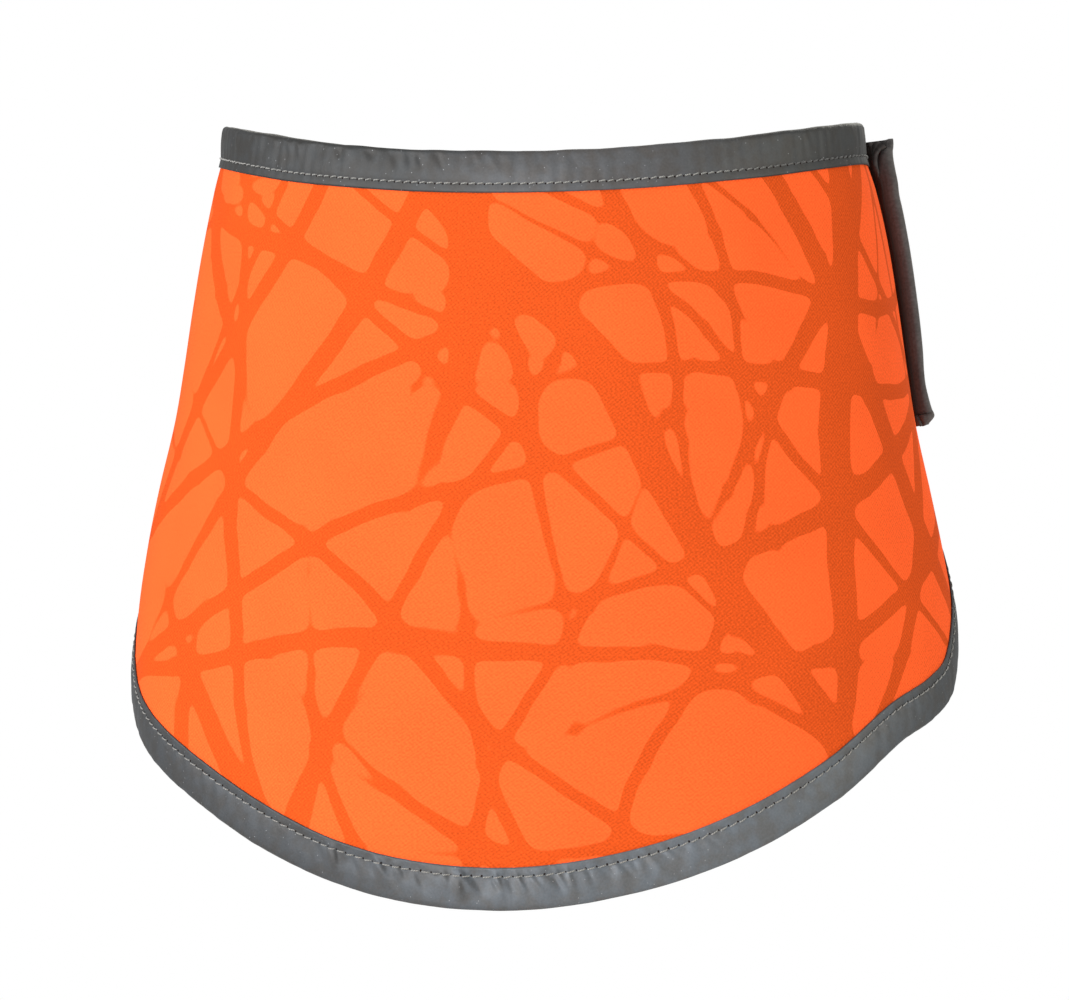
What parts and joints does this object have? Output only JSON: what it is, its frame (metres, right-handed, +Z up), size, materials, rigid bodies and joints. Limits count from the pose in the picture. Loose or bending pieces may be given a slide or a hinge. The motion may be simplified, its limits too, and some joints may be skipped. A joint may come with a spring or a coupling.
{
  "type": "dog high-visibility scarf",
  "caption": "Orange dog neck scarf with a flared ring, a rounded bib, grey reflective edge tapes and a dark hook-and-loop closure strap behind.",
  "frame": {"origin": "middle of the neck ring, at the height of the middle of the closure strap's free end", "axes": "+Z up along the neck ring's axis towards the rim, -Y towards the bib, +X towards the strap's free end"},
  "size_m": [0.209, 0.1559, 0.1877],
  "materials": {
    "orange_cloth": "fluorescent orange woven polyester, printed tone on tone",
    "reflective_tape": "grey glass-bead reflective tape, satin",
    "strap_cloth": "dark grey-brown soft woven cloth",
    "hook_and_loop": "black hook-and-loop tape"
  },
  "bodies": {
    "root": {"panel": "orange_cloth", "top_binding": "reflective_tape", "bottom_binding": "reflective_tape", "closure_strap": "strap_cloth", "touch_fastener": "hook_and_loop"}
  },
  "joints": []
}
